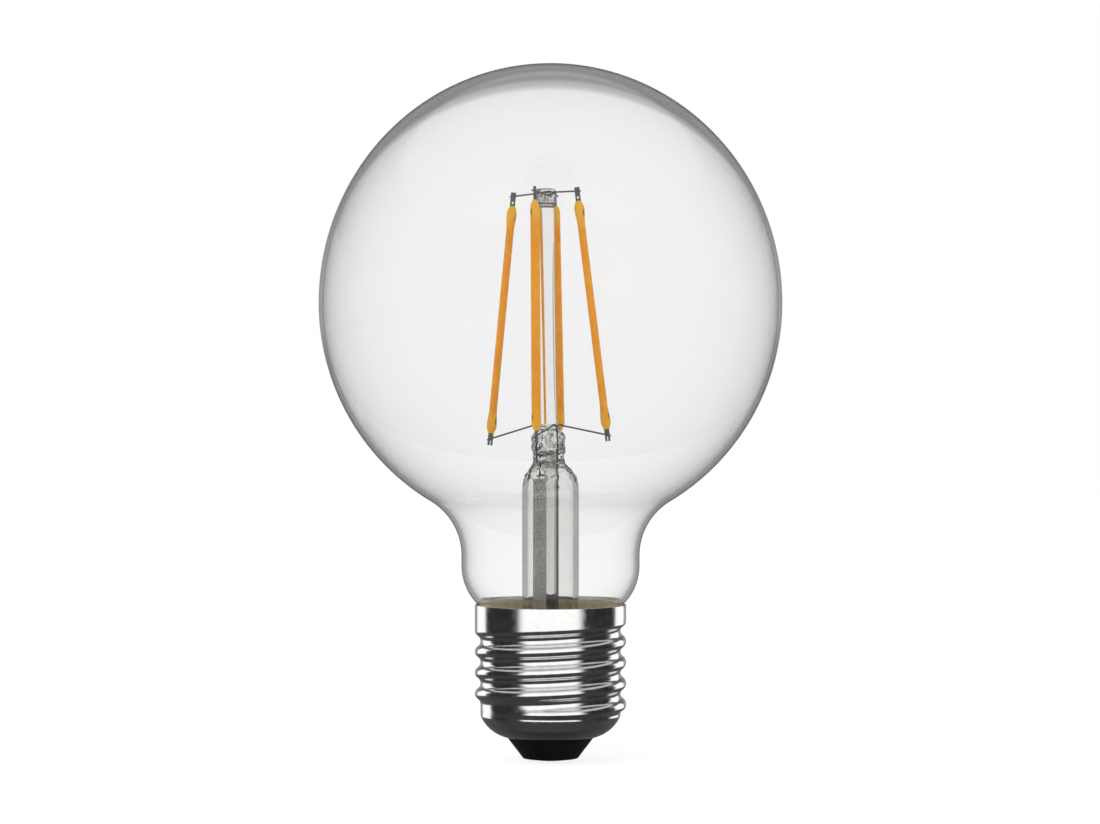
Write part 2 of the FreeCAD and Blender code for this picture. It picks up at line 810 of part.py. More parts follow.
def lying_component(radius, length, offset):
    """Round component that lies along X on the board, with two legs bent down through it."""
    height = board_top_z + radius
    across = offset * board_radius()
    body = Part.makeCylinder(radius, length, vector(-length / 2.0, across, height), vector(1, 0, 0))
    body = body.makeFillet(component_round, body.Edges[:1] + body.Edges[2:])
    reach = length / 2.0 + leg_gap
    points = [vector(-reach, across, board_z), vector(-reach, across, height),
              vector(reach, across, height), vector(reach, across, board_z)]
    return body.fuse(wire_along(points, component_leg))


def contact_lead():
    """Wire from the board down into the contact's solder."""
    return Part.makeCylinder(contact_lead_radius, board_top_z + contact_lead_rise - insulator_z,
                             vector(0, 0, insulator_z))


def shell_lead():
    """Wire from the board's edge out to the inside of the plain wall."""
    foot_x = board_radius() - shell_lead_inset
    height = board_top_z + shell_lead_rise
    wall_x = math.sqrt(wall_inside ** 2 - component_leg ** 2)
    points = [vector(-foot_x, 0, board_z), vector(-foot_x, 0, height), vector(-wall_x, 0, height)]
    return wire_along(points, component_leg)


def build():
    nodes = {"screw_shell": screw_shell(), "cap_insulator": cap_insulator(),
             "centre_contact": centre_contact(), "basing_cement": basing_cement(),
             "glass_globe": glass_globe()}

    wire_z = wire_height()
    half_apart = support_wire + wire_gap / 2.0
    supports = {"support_wire_right_left": support_wire_between("right", "left", wire_z + half_apart),
                "support_wire_front_back": support_wire_between("front", "back", wire_z - half_apart)}
    leads = inner_leads()
    sealed = {"sealing_wire_right": dumet_wire_along(right_exit, right_lead_angle),
              "sealing_wire_left": dumet_wire_along(left_exit, left_lead_angle)}
    wires = {**supports, **leads, **sealed}
    nodes.update(wires)
    nodes["glass_stem"] = glass_stem(wire_z, list(wires.values()))
    for name, angle in (("right", right_lead_angle), ("left", left_lead_angle)):
        nodes["outer_lead_" + name] = outer_lead(angle).cut(sealed["sealing_wire_" + name])
    nodes["insulating_sleeve"] = insulating_sleeve()

    strip = ceramic_strip()
    upper = upper_tab()
    lower = lower_tab()
    coat = phosphor_coat()
    for side in sides:
        nodes["ceramic_strip_" + side] = placed(strip, side)
        nodes["upper_tab_" + side] = placed(upper, side).cut(list(supports.values()))
        nodes["lower_tab_" + side] = placed(lower, side).cut(list(leads.values()))
        nodes["phosphor_coat_" + side] = placed(coat, side)

    nodes["contact_lead"] = contact_lead()
    nodes["shell_lead"] = shell_lead()
    nodes["smoothing_capacitor"] = lying_component(capacitor_radius, capacitor_length, capacitor_offset)
    nodes["fuse_resistor"] = lying_component(resistor_radius, resistor_length, resistor_offset)
    through_board = ("contact_lead", "shell_lead", "smoothing_capacitor", "fuse_resistor",
                     "outer_lead_right", "outer_lead_left")
    nodes["driver_board"] = driver_board([nodes[name] for name in through_board])
    nodes["bridge_rectifier"] = package(rectifier_size, rectifier_place)
    nodes["driver_chip"] = package(chip_size, chip_place)
    return nodes


os.makedirs("parts", exist_ok=True)
for name, shape in build().items():
    solid, = shape.Solids
    solid.exportStep("parts/" + name + ".step")
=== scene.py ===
import math

import bpy
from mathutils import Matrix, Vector, noise


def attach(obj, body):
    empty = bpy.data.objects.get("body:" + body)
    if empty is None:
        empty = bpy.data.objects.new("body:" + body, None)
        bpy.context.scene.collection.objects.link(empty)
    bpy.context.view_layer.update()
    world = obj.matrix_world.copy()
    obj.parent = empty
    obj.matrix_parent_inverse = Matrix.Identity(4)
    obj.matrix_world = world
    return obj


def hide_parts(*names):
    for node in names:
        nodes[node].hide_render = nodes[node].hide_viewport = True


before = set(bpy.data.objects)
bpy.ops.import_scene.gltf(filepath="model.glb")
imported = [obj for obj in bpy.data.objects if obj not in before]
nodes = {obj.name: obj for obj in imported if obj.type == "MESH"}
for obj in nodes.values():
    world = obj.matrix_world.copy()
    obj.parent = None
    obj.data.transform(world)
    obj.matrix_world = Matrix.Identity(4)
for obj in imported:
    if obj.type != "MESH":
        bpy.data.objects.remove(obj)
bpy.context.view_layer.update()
mm = 0.001
sides = ("right", "back", "left", "front")


def put(name, data):
    """New object in the scene."""
    made = bpy.data.objects.new(name, data)
    bpy.context.scene.collection.objects.link(made)
    return made


# Camera, as far and as high as the photograph's

image_width = 1100
pixel = 0.173 * mm
sensor_width = 36.0
camera_side = -0.5 * pixel
camera_distance = 512 * mm
camera_height = 60.27 * mm
camera_data = bpy.data.cameras.new("camera")
camera = put("camera", camera_data)
camera_data.sensor_width = sensor_width
camera_data.lens = sensor_width * camera_distance / (image_width * pixel)
camera_data.clip_start = 10 * mm
camera.location = (camera_side, -camera_distance, camera_height)
camera.rotation_euler = (math.radians(90.0), 0.0, 0.0)
bpy.context.scene.camera = camera


# Node graph helpers

grain_low = 0.3
grain_high = 0.7
white = (1.0, 1.0, 1.0, 1.0)


def grey_stops(*stops):
    return [(place, (level, level, level)) for place, level in stops]


class Graph:
    """Short ways to add and join nodes in one tree."""

    def __init__(self, tree):
        self.tree = tree
        tree.nodes.clear()

    def add(self, kind, inputs=None, **settings):
        node = self.tree.nodes.new(kind)
        for name, value in settings.items():
            setattr(node, name, value)
        for name, value in (inputs or {}).items():
            if isinstance(value, bpy.types.NodeSocket):
                self.join(value, node, name)
            else:
                node.inputs[name].default_value = value
        return node

    def join(self, value, node, name):
        self.tree.links.new(value, node.inputs[name])

    def math(self, operation, first, second=0.0):
        return self.add("ShaderNodeMath", {0: first, 1: second}, operation=operation).outputs[0]

    def axes(self, vector):
        """Parts of a vector along X, Y and Z."""
        return self.add("ShaderNodeSeparateXYZ", {0: vector}).outputs

    def place(self):
        """Place on the object, in metres."""
        return self.add("ShaderNodeTexCoord").outputs["Object"]

    def height(self):
        """Height over the origin, in millimetres."""
        return self.math("DIVIDE", self.axes(self.place())[2], mm)

    def noise(self, scale, detail):
        node = self.add("ShaderNodeTexNoise", {"Vector": self.place(), "Scale": scale, "Detail": detail})
        return node.outputs["Fac"]

    def spread(self, value, low, high, from_low=grain_low, from_high=grain_high):
        """Value taken from one range to another, and held at its ends."""
        return self.add("ShaderNodeMapRange", {"Value": value, "From Min": from_low, "From Max": from_high,
                                               "To Min": low, "To Max": high}).outputs[0]

    def ramp(self, value, stops):
        node = self.add("ShaderNodeValToRGB", {"Fac": value})
        elements = node.color_ramp.elements
        for place, _ in stops[1:-1]:
            elements.new(place)
        for element, (place, color) in zip(elements, stops):
            element.position = place
            element.color = (*color, 1.0)
        return node.outputs["Color"]

    def mix_color(self, share, first, second):
        return self.add("ShaderNodeMix", {0: share, 6: first, 7: second}, data_type="RGBA").outputs[2]

    def mix_shader(self, share, first, second):
        return self.add("ShaderNodeMixShader", {0: share, 1: first.outputs[0], 2: second.outputs[0]})

    def bump(self, height, strength, distance):
        return self.add("ShaderNodeBump", {"Height": height, "Strength": strength,
                                           "Distance": distance}).outputs[0]


def new_material(name):
    made = bpy.data.materials.new(name)
    made.use_nodes = True
    return made, Graph(made.node_tree)


def material(name, **inputs):
    """Principled material, its graph and its shader. Sockets are given by name, with _ for a space."""
    made, graph = new_material(name)
    shader = graph.add("ShaderNodeBsdfPrincipled")
    for key, value in inputs.items():
        socket = shader.inputs[key.replace("_", " ")]
        socket.default_value = (*value, 1.0) if socket.type == "RGBA" else value
    graph.add("ShaderNodeOutputMaterial", {"Surface": shader.outputs[0]})
    return made, graph, shader


# Materials, with places on them in millimetres

wave_scale = 180.0
wave_height = 0.2 * mm
metal_relief = 0.02 * mm
plain_relief = 0.05 * mm
clear_tint = (0.985, 0.985, 0.985)
stem_tint = (0.93, 0.935, 0.92)
# Painted shade of the press's folds and the button: heights in millimetres between which a grey mottling in
# the glass's tint fades in and out
press_shade_start = (49.5, 52.0)
press_shade_end = (57.0, 58.0)
button_shade_start = (95.5, 96.0)
fold_shade_scale = 1400.0
painted_fold_shade = (0.36, 0.36, 0.35)
coat_grain_scale = 500.0
coat_middle_z = 76.5
coat_end_start = (15.5, 18.0)
coat_dark = (0.94, 0.335, 0.005)
coat_light = (0.99, 0.41, 0.009)
coat_end_color = (1.0, 0.5, 0.02, 1.0)


def grained(graph, shader, grain, color, roughness, strength, relief):
    """Color, roughness and fine relief of a surface, which follow its grain."""
    graph.join(color, shader, "Base Color")
    graph.join(graph.spread(grain, *roughness), shader, "Roughness")
    graph.join(graph.bump(grain, strength, relief), shader, "Normal")


def metal_material(name, dark, light, roughness, scale):
    made, graph, shader = material(name, Metallic=1.0)
    grain = graph.noise(scale, detail=4.0)
    color = graph.ramp(grain, ((grain_low, dark), (grain_high, light)))
    grained(graph, shader, grain, color, roughness=(roughness * 0.7, roughness * 1.5), strength=0.1,
            relief=metal_relief)
    return made


def plain_material(name, dark, light, roughness, scale, relief=plain_relief, **inputs):
    made, graph, shader = material(name, **inputs)
    grain = graph.noise(scale, detail=5.0)
    color = graph.ramp(grain, ((grain_low, dark), (grain_high, light)))
    grained(graph, shader, grain, color, roughness=(roughness * 0.8, roughness * 1.2), strength=0.3,
            relief=relief)
    return made


def glass_material(name, tint, waviness):
    made, graph, shader = material(name, Base_Color=tint, Roughness=0.0, IOR=1.5, Transmission_Weight=1.0)
    wave = graph.noise(wave_scale, detail=1.0)
    graph.join(graph.bump(wave, waviness, wave_height), shader, "Normal")
    return made, graph, shader


def clear_material():
    made, _, _ = glass_material("clear_glass", clear_tint, waviness=0.0)
    return made


def stem_material():
    """Glass of the stem, with painted shade mottled grey into its tint in the pinched press and in the
    button.
    """
    made, graph, shader = glass_material("stem_glass", stem_tint, waviness=0.05)
    height = graph.height()
    press = graph.math("MULTIPLY", graph.spread(height, 0.0, 1.0, *press_shade_start),
                       graph.spread(height, 1.0, 0.0, *press_shade_end))
    shade_share = graph.math("MAXIMUM", press, graph.spread(height, 0.0, 1.0, *button_shade_start))
    # Painted shade: grey mottling in the tint of the pinched press and the button
    painted_mottled_shade = graph.ramp(graph.noise(fold_shade_scale, detail=4.0), ((0.38, painted_fold_shade), (0.64, stem_tint)))
    graph.join(graph.mix_color(shade_share, (*stem_tint, 1.0), painted_mottled_shade), shader, "Base Color")
    return made


def coat_material():
    """Orange silicone, yellower at its swollen ends."""
    made, graph, shader = material("phosphor_silicone", Specular_IOR_Level=0.3, Subsurface_Weight=0.15,
                                   Subsurface_Radius=(0.5 * mm, 0.25 * mm, 0.05 * mm))
    grain = graph.noise(coat_grain_scale, detail=5.0)
    middle = graph.ramp(grain, ((grain_low, coat_dark), (grain_high, coat_light)))
    from_middle = graph.math("ABSOLUTE", graph.math("SUBTRACT", graph.height(), coat_middle_z))
    end = graph.spread(from_middle, 0.0, 1.0, *coat_end_start)
    color = graph.mix_color(end, middle, coat_end_color)
    grained(graph, shader, grain, color, roughness=(0.2, 0.3), strength=0.3, relief=plain_relief)
    return made


clear_glass = clear_material()
stem_glass = stem_material()
nickel = metal_material("nickel_plate", (0.72, 0.72, 0.715), (0.8, 0.8, 0.795), roughness=0.14, scale=900.0)
black_glass = plain_material("black_glass", (0.003, 0.003, 0.003), (0.006, 0.006, 0.006), roughness=0.4,
                             scale=300.0, relief=0.01 * mm, Specular_IOR_Level=0.3)
contact_metal = metal_material("contact_metal", (0.62, 0.56, 0.44), (0.75, 0.7, 0.58), roughness=0.25,
                               scale=1200.0)
cement = plain_material("cement", (0.9, 0.68, 0.25), (1.0, 0.92, 0.6), roughness=0.85, scale=900.0,
                        relief=0.2 * mm)
coat = coat_material()
strip_ceramic = plain_material("strip_ceramic", (0.75, 0.73, 0.68), (0.85, 0.83, 0.78), roughness=0.5,
                               scale=900.0)
tab_steel = metal_material("tab_steel", (0.2, 0.2, 0.2), (0.32, 0.32, 0.31), roughness=0.4, scale=2500.0)
nickel_wire = metal_material("nickel_wire", (0.2, 0.19, 0.18), (0.33, 0.31, 0.3), roughness=0.35,
                             scale=2500.0)
sealing_wire = metal_material("sealing_wire", (0.3, 0.08, 0.04), (0.45, 0.14, 0.07), roughness=0.4,
                              scale=2500.0)
copper_wire = metal_material("copper_wire", (0.2, 0.15, 0.13), (0.34, 0.27, 0.23), roughness=0.35,
                             scale=2500.0)
laminate = plain_material("board_laminate", (0.02, 0.1, 0.04), (0.04, 0.16, 0.07), roughness=0.4,
                          scale=1500.0)
dark_plastic = plain_material("moulded_plastic", (0.02, 0.02, 0.022), (0.035, 0.035, 0.037), roughness=0.55,
                              scale=2500.0)
can_aluminium = metal_material("capacitor_can", (0.6, 0.6, 0.6), (0.75, 0.75, 0.75), roughness=0.3,
                               scale=1500.0)
resistor_body = plain_material("resistor_body", (0.2, 0.32, 0.42), (0.28, 0.42, 0.52), roughness=0.6,
                               scale=1500.0)


def dress(finish, *names):
    """Give solids a material."""
    for name in names:
        slots = nodes[name].data.materials
        slots.clear()
        slots.append(finish)


dress(clear_glass, "glass_globe")
dress(stem_glass, "glass_stem")
dress(nickel, "screw_shell")
dress(black_glass, "cap_insulator")
dress(contact_metal, "centre_contact")
dress(cement, "basing_cement")
dress(nickel_wire, "support_wire_right_left", "support_wire_front_back", "inner_lead_right",
      "inner_lead_left")
dress(sealing_wire, "sealing_wire_right", "sealing_wire_left")
dress(copper_wire, "outer_lead_right", "outer_lead_left", "contact_lead", "shell_lead")
for side in sides:
    dress(strip_ceramic, "ceramic_strip_" + side)
    dress(tab_steel, "upper_tab_" + side, "lower_tab_" + side)
    dress(coat, "phosphor_coat_" + side)
dress(laminate, "driver_board")
dress(dark_plastic, "bridge_rectifier", "driver_chip")
dress(can_aluminium, "smoothing_capacitor")
dress(resistor_body, "fuse_resistor")


# Meshes, in millimetres

tiny = 1e-6
corner_row = 0.02
square_corners = ((-1.0, -1.0), (1.0, -1.0), (1.0, 1.0), (-1.0, 1.0))


def smooth(share):
    """Soft step from 0 to 1."""
    share = min(max(share, 0.0), 1.0)
    return share * share * (3.0 - 2.0 * share)


def arc(center, radius, start, end, steps):
    """Points round center in the outline's plane, between two directions in degrees."""
    points = []
    for step in range(steps + 1):
        turn = math.radians(start + (end - start) * step / steps)
        points.append((center[0] + radius * math.cos(turn), center[1] + radius * math.sin(turn)))
    return points


def outline(*runs):
    """Runs of points joined into one outline, with no point twice in a row."""
    points = []
    for run in runs:
        for point in run:
            if not points or math.dist(points[-1], point) > tiny:
                points.append(point)
    return points


def long_run(start, end, steps):
    """Straight run with a short row at each end, so the shading of its corners stays in the corners."""
    edge = corner_row / math.dist(start, end)
    shares = [0.0, edge, *[step / steps for step in range(1, steps)], 1.0 - edge, 1.0]
    return [tuple(first + (last - first) * share for first, last in zip(start, end)) for share in shares]


def piece(name, vertices, faces, finish, slot):
    """Smooth piece of the bulb, made of one mesh in one material."""
    mesh = bpy.data.meshes.new(name)
    mesh.from_pydata([Vector(vertex) * mm for vertex in vertices], [], faces)
    mesh.materials.append(finish)
    mesh.polygons.foreach_set("use_smooth", [True] * len(mesh.polygons))
    mesh.update()
    made = put(name, mesh)
    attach(made, "root")
    return made


def ring(radius, height, segments):
    """Points round Z, or one point on it where the radius is nothing."""
    if radius < tiny:
        return [Vector((0.0, 0.0, height))]
    turns = [2.0 * math.pi * segment / segments for segment in range(segments)]
    return [Vector((radius * math.cos(turn), radius * math.sin(turn), height)) for turn in turns]


def skin(rings):
    """Vertices and faces of rings joined in order. A ring of one point closes the skin."""
    vertices = []
    faces = []
    lower = None
    for places in rings:
        upper = range(len(vertices), len(vertices) + len(places))
        vertices += places
        for segment in range(max(len(lower), len(upper)) if lower else 0):
            corners = [lower[segment % len(lower)], lower[(segment + 1) % len(lower)],
                       upper[(segment + 1) % len(upper)], upper[segment % len(upper)]]
            faces.append([corner for place, corner in enumerate(corners) if corner not in corners[:place]])
        lower = upper
    return vertices, faces


def lathe(points, segments):
    """Skin of an outline turned about Z, drawn upward outside and downward inside."""
    return skin([ring(radius, height, segments) for radius, height in points])


# Glass envelope, with the solid's outline

thread_depth = 0.98
crest_radius = 13.1
cap_height = 27.0
globe_radius = 40.0
crown_rise = 41.3
glass_wall = 0.8
neck_flare = 4.1
neck_straight = 1.7
neck_fillet = 11.0
neck_shoulder = 9.5
neck_reverse = 3.0
shell_thickness = 0.25
rim_clearance = 0.25
tail_length = 10.0
seal_gap = 0.57
root_radius = crest_radius - thread_depth
tail_radius = root_radius - shell_thickness - seal_gap
neck_radius = tail_radius + neck_flare
seal_z = cap_height - tail_length
shoulder_x = neck_radius - neck_shoulder
rim_reach = crest_radius - shell_thickness - rim_clearance - shoulder_x
shoulder_z = cap_height + math.sqrt(neck_shoulder ** 2 - rim_reach ** 2)
reverse_x = tail_radius + neck_reverse
reverse_z = shoulder_z - math.sqrt((neck_shoulder + neck_reverse) ** 2 - (reverse_x - shoulder_x) ** 2)
fillet_x = neck_radius + neck_fillet
fillet_z = shoulder_z + neck_straight
globe_z = fillet_z + math.sqrt((globe_radius + neck_fillet) ** 2 - fillet_x ** 2)


def envelope_wall(inset):
    """Outline of the envelope from the crown down to the tail, inset from the outside."""
    to_fillet = math.degrees(math.atan2(fillet_z - globe_z, fillet_x))
    to_reverse = math.degrees(math.atan2(reverse_z - shoulder_z, reverse_x - shoulder_x))
    across = globe_radius - inset
    rise = crown_rise - inset
    crown = [(x, globe_z + y * rise / across) for x, y in arc((0.0, 0.0), across, 90.0, 0.0, 60)]
    return outline(crown,
                   arc((0.0, globe_z), across, 0.0, to_fillet, 40),
                   arc((fillet_x, fillet_z), neck_fillet + inset, to_fillet + 180.0, 180.0, 16),
                   arc((shoulder_x, shoulder_z), neck_shoulder - inset, 0.0, to_reverse, 16),
                   arc((reverse_x, reverse_z), neck_reverse + inset, to_reverse + 180.0, 180.0, 8),
                   [(tail_radius - inset, seal_z)])


def envelope():
    segments = 192
    return lathe(envelope_wall(0.0)[::-1] + envelope_wall(glass_wall), segments)


globe = piece("clear_globe", *envelope(), clear_glass, "clear_glass")
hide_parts("glass_globe")


# Glass stem, melted into one skin of round and oval rings that lean with the cage

stem_radius = 4.9
stem_wall = 0.9
trumpet_z = 24.0
press_base_z = 46.5
press_z = 52.5
press_top_z = 57.5
press_shift = -0.35
press_half = (2.7, 2.1)
press_steps = 80
pinch_start = 2.5
pinch_rise = 3.6
press_flow = 0.09
press_flow_scale = (2.2, 2.2, 0.9)
pinch_marks = 0.06
mark_scale = (5.0, 5.0, 2.0)
mark_level = 0.3
mark_start = 0.5
mark_rise = 3.0
head_half = (2.98, 2.3)
head_rise = 2.2
head_round = (0.36, 0.3)
head_round_rise = 1.5
root_round = 0.15
exhaust_radius = 1.4
exhaust_bore = 0.7
exhaust_tip_z = 13.9
blow_hole_radius = 0.5
blow_hole_turn = math.radians(228.0)
blow_hole_end = 2.2
hollow_gap = 0.02
column_radius = 1.5
column_foot = 0.34
column_foot_rise = 0.7
column_foot_steps = 6
lip_ring = 0.2
button_radius = 1.85
button_foot_z = 96.07
button_top_z = 98.87
button_round = 0.45
button_middle = 0.02
button_flow = 0.07
button_flow_scale = (1.6, 1.6, 1.3)
button_flow_level = 0.5
button_flow_rise = 0.5
cage_lean = math.radians(0.82)
dome_narrowing = stem_radius - press_half[0]
dome_radius = (dome_narrowing ** 2 + (press_z - press_base_z) ** 2) / (2.0 * dome_narrowing)

# Middle, radius and half length of each bubble, with the column's long hollow line among them

bubbles = (((-1.5, -0.9, 54.6), 0.3, 0.34), ((-2.0, -0.4, 55.0), 0.2, 0.42), ((-1.3, -0.5, 55.9), 0.16, 0.3),
           ((-0.75, -1.0, 55.2), 0.14, 0.5), ((0.2, -0.9, 56.2), 0.3, 0.22), ((1.35, -0.7, 55.9), 0.2, 0.24),
           ((1.6, -0.3, 54.7), 0.11, 0.6), ((-0.2, 0.7, 55.6), 0.22, 0.6), ((-1.1, 0.8, 56.4), 0.25, 0.2),
           ((1.0, 0.9, 54.9), 0.14, 0.5), ((-1.9, 0.3, 56.5), 0.12, 0.3), ((-2.3, 0.2, 53.6), 0.16, 0.5),
           ((-0.9, -1.3, 53.2), 0.2, 0.45), ((0.6, -1.2, 54.4), 0.17, 0.3), ((1.1, 0.2, 56.6), 0.24, 0.2),
           ((0.62, 0.1, 73.5), 0.3, 16.0), ((-1.5, -0.6, 97.4), 0.14, 0.7), ((-0.9, -1.2, 97.7), 0.17, 0.5),
           ((0.1, -1.3, 97.3), 0.12, 0.7), ((0.7, -0.9, 97.9), 0.2, 0.3), ((-0.4, 0.9, 97.2), 0.15, 0.6))


def leaned(place):
    """Point of the cage after its lean to the left about the press's top."""
    x = place[0] - press_shift
    z = place[2] - press_top_z
    return Vector((press_shift + x * math.cos(cage_lean) - z * math.sin(cage_lean), place[1],
                   press_top_z + x * math.sin(cage_lean) + z * math.cos(cage_lean)))


def uneven(x, y, z, scale):
    """Smooth noise round 0 at a place in the glass."""
    return noise.noise(Vector((scale[0] * x, scale[1] * y, scale[2] * z)))


def trumpet(inset):
    """Flared foot of the stem, from its rim up to the even tube."""
    rim = tail_radius - glass_wall
    across = rim - stem_radius + inset
    down = trumpet_z - seal_z + inset
    steps = 24
    points = []
    for step in range(steps + 1):
        turn = math.pi / 2.0 * step / steps
        points.append((rim - across * math.sin(turn), trumpet_z - down * math.cos(turn)))
    return points


def hollow_outline():
    """From the exhaust tube's melted tip up to the roof, and down inside the tube to the seal."""
    inside = stem_radius - stem_wall
    roof_z = press_z - stem_wall
    roof_radius = dome_radius - stem_wall
    roof_end = math.degrees(math.asin((roof_z - press_base_z) / roof_radius))
    return outline(arc((0.0, exhaust_tip_z + exhaust_radius), exhaust_radius, -90.0, 0.0, 8),
                   long_run((exhaust_radius, exhaust_tip_z + exhaust_radius),
                            (exhaust_radius, roof_z - root_round), 12),
                   arc((exhaust_radius + root_round, roof_z - root_round), root_round, 180.0, 90.0, 6),
                   arc((stem_radius - dome_radius, press_base_z), roof_radius, roof_end, 0.0, 16),
                   long_run((inside, press_base_z), (inside, trumpet_z), 12),
                   trumpet(stem_wall)[::-1],
                   [(tail_radius, seal_z - stem_wall), (tail_radius, seal_z)])


def press_rings(segments):
    """Dome that closes to the pinched press, and the press's rounded head."""
    rings = []
    for step in range(press_steps + 1):
        z = press_base_z + (press_top_z - press_base_z) * step / press_steps
        rise = z - press_base_z
        dome = stem_radius - dome_radius + math.sqrt(max(dome_radius ** 2 - rise ** 2, 0.0))
        pinch = smooth((rise - pinch_start) / pinch_rise)
        head = smooth((z - press_z) / head_rise)
        brow = smooth((z - press_top_z + head_round_rise) / head_round_rise)
        marked = pinch_marks * smooth((rise - mark_start) / mark_rise)
        half_sizes = []
        for pinched, full, round_off in zip(press_half, head_half, head_round):
            size = (pinched + (full - pinched) * head) * (1.0 - round_off * brow)
            half_sizes.append(max(dome, size) * (1.0 - pinch) + size * pinch)
        wide, deep = half_sizes
        places = []
        for place in ring(1.0, 0.0, segments):
            flow = 1.0 + press_flow * pinch * uneven(place.x, place.y, z, press_flow_scale)
            flow += marked * (uneven(place.x, place.y, z, mark_scale) - mark_level)
            places.append(Vector((place.x * wide * flow + press_shift * pinch, place.y * deep * flow, z)))
        rings.append(places)
    return rings


def column_outline():
    """Half outline of the column and the button over the press, before the lean."""
    foot = []
    for step in range(1, column_foot_steps + 1):
        flare = column_foot * (1.0 - smooth(step / column_foot_steps))
        foot.append((column_radius + flare, press_top_z + column_foot_rise * step / column_foot_steps))
    low_z = press_top_z + column_foot_rise
    high_z = button_foot_z - 2.0 * lip_ring
    corner_x = button_radius - button_round
    corner_low_z = button_foot_z + button_round
    corner_high_z = button_top_z - button_round
    return outline(foot,
                   long_run((column_radius, low_z), (column_radius, high_z), 30),
                   arc((column_radius, button_foot_z - lip_ring), lip_ring, -90.0, 90.0, 8),
                   arc((corner_x, corner_low_z), button_round, -90.0, 0.0, 6),
                   long_run((button_radius, corner_low_z), (button_radius, corner_high_z), 12),
                   arc((corner_x, corner_high_z), button_round, 0.0, 90.0, 6),
                   long_run((corner_x, button_top_z), (button_middle, button_top_z), 4),
                   [(0.0, button_top_z)])


def melted_stem():
    """One skin from the exhaust tube's tip, round the seal and up to the button's top."""
    segments = 96
    tube = long_run((stem_radius, trumpet_z), (stem_radius, press_base_z), 12)[1:-1]
    rings = [ring(radius, height, segments) for radius, height in hollow_outline() + trumpet(0.0) + tube]
    rings += press_rings(segments)
    for radius, height in column_outline():
        share = smooth((height - button_foot_z) / button_flow_rise) * button_flow
        places = []
        for place in ring(radius, height, segments):
            flow = 1.0 - share * (button_flow_level + uneven(place.x, place.y, height, button_flow_scale))
            places.append(leaned(Vector((place.x * flow + press_shift, place.y * flow, height))))
        rings.append(places)
    return skin(rings)


def add_hollow(vertices, faces, more_vertices, more_faces):
    """Add a closed hollow, its faces turned to look inward."""
    start = len(vertices)
    inward = [[corner + start for corner in face[::-1]] for face in more_faces]
    return vertices + more_vertices, faces + inward


def exhaust_hollow():
    """Bore of the exhaust tube, domed at both ends."""
    low = exhaust_tip_z + 2.0 * exhaust_radius
    high = press_z + blow_hole_radius + exhaust_bore
    segments = 48
    return lathe(outline(arc((0.0, low + exhaust_bore), exhaust_bore, -90.0, 0.0, 6),
                         arc((0.0, high - exhaust_bore), exhaust_bore, 0.0, 90.0, 8)), segments)


def blow_hollow():
    """Blow hole from the bore's wall to the press's skin."""
    start = exhaust_bore + hollow_gap
    end = blow_hole_end
    segments = 32
    outward = Vector((math.cos(blow_hole_turn), math.sin(blow_hole_turn), 0.0))
    across = Vector((-outward.y, outward.x, 0.0))
    middle = Vector((press_shift, 0.0, press_z + blow_hole_radius))
    rings = []
    for radius, reach in ((0.0, start), (blow_hole_radius, start), (blow_hole_radius, end), (0.0, end)):
        rings.append([middle + outward * place.z + across * place.x + Vector((0.0, 0.0, -place.y))
                      for place in ring(radius, reach, segments)])
    return skin(rings)


def bubble(place, radius, length):
    """Closed bubble, drawn out along Z and leaning where the cage does."""
    steps = 24
    segments = 20
    points = [(x, place[2] + z * length / radius) for x, z in arc((0.0, 0.0), radius, -90.0, 90.0, steps)]
    vertices, faces = lathe(points, segments)
    vertices = [vertex + Vector((place[0], place[1], 0.0)) for vertex in vertices]
    return [leaned(vertex) if place[2] > press_top_z else vertex for vertex in vertices], faces


def melted_glass():
    """The stem's skin with its bores and bubbles."""
    made = add_hollow(*melted_stem(), *exhaust_hollow())
    made = add_hollow(*made, *blow_hollow())
    for place, radius, length in bubbles:
        made = add_hollow(*made, *bubble(place, radius, length))
    return made


stem = piece("melted_stem", *melted_glass(), stem_glass, "stem_glass")
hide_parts("glass_stem")


# Braided sleeve: two sets of yarn wound against each other round the left lead

sleeve_middle = Vector((-1.805, -1.805, 0.0))
sleeve_outside = 1.075
sleeve_inside = 0.475
sleeve_low = 7.5
sleeve_high = 48.7
yarns = 10
yarn_segments = 8
yarn_rows = 480
yarn_relief = 0.24
yarn_painted_shade = (0.4, 0.39, 0.34)
yarn_light = (1.0, 0.99, 0.93)
fibre_scale = 1600.0


def braid():
    """Closed tube whose outside follows the yarns."""
    segments = yarn_segments * yarns
    rings = []
    for row in range(yarn_rows + 1):
        height = sleeve_low + (sleeve_high - sleeve_low) * row / yarn_rows
        wound = yarns * (height - sleeve_low) / sleeve_outside
        places = []
        for place in ring(1.0, height, segments):
            angle = yarns * math.atan2(place.y, place.x)
            ridge = max(math.cos(angle + wound), math.cos(angle - wound))
            radius = sleeve_outside - yarn_relief * (1.0 - smooth(ridge))
            places.append(sleeve_middle + Vector((place.x * radius, place.y * radius, height)))
        rings.append(places)
    for height in (sleeve_high, sleeve_low):
        rings.append([sleeve_middle + place for place in ring(sleeve_inside, height, segments)])
    rings.append(rings[0])
    return skin(rings)


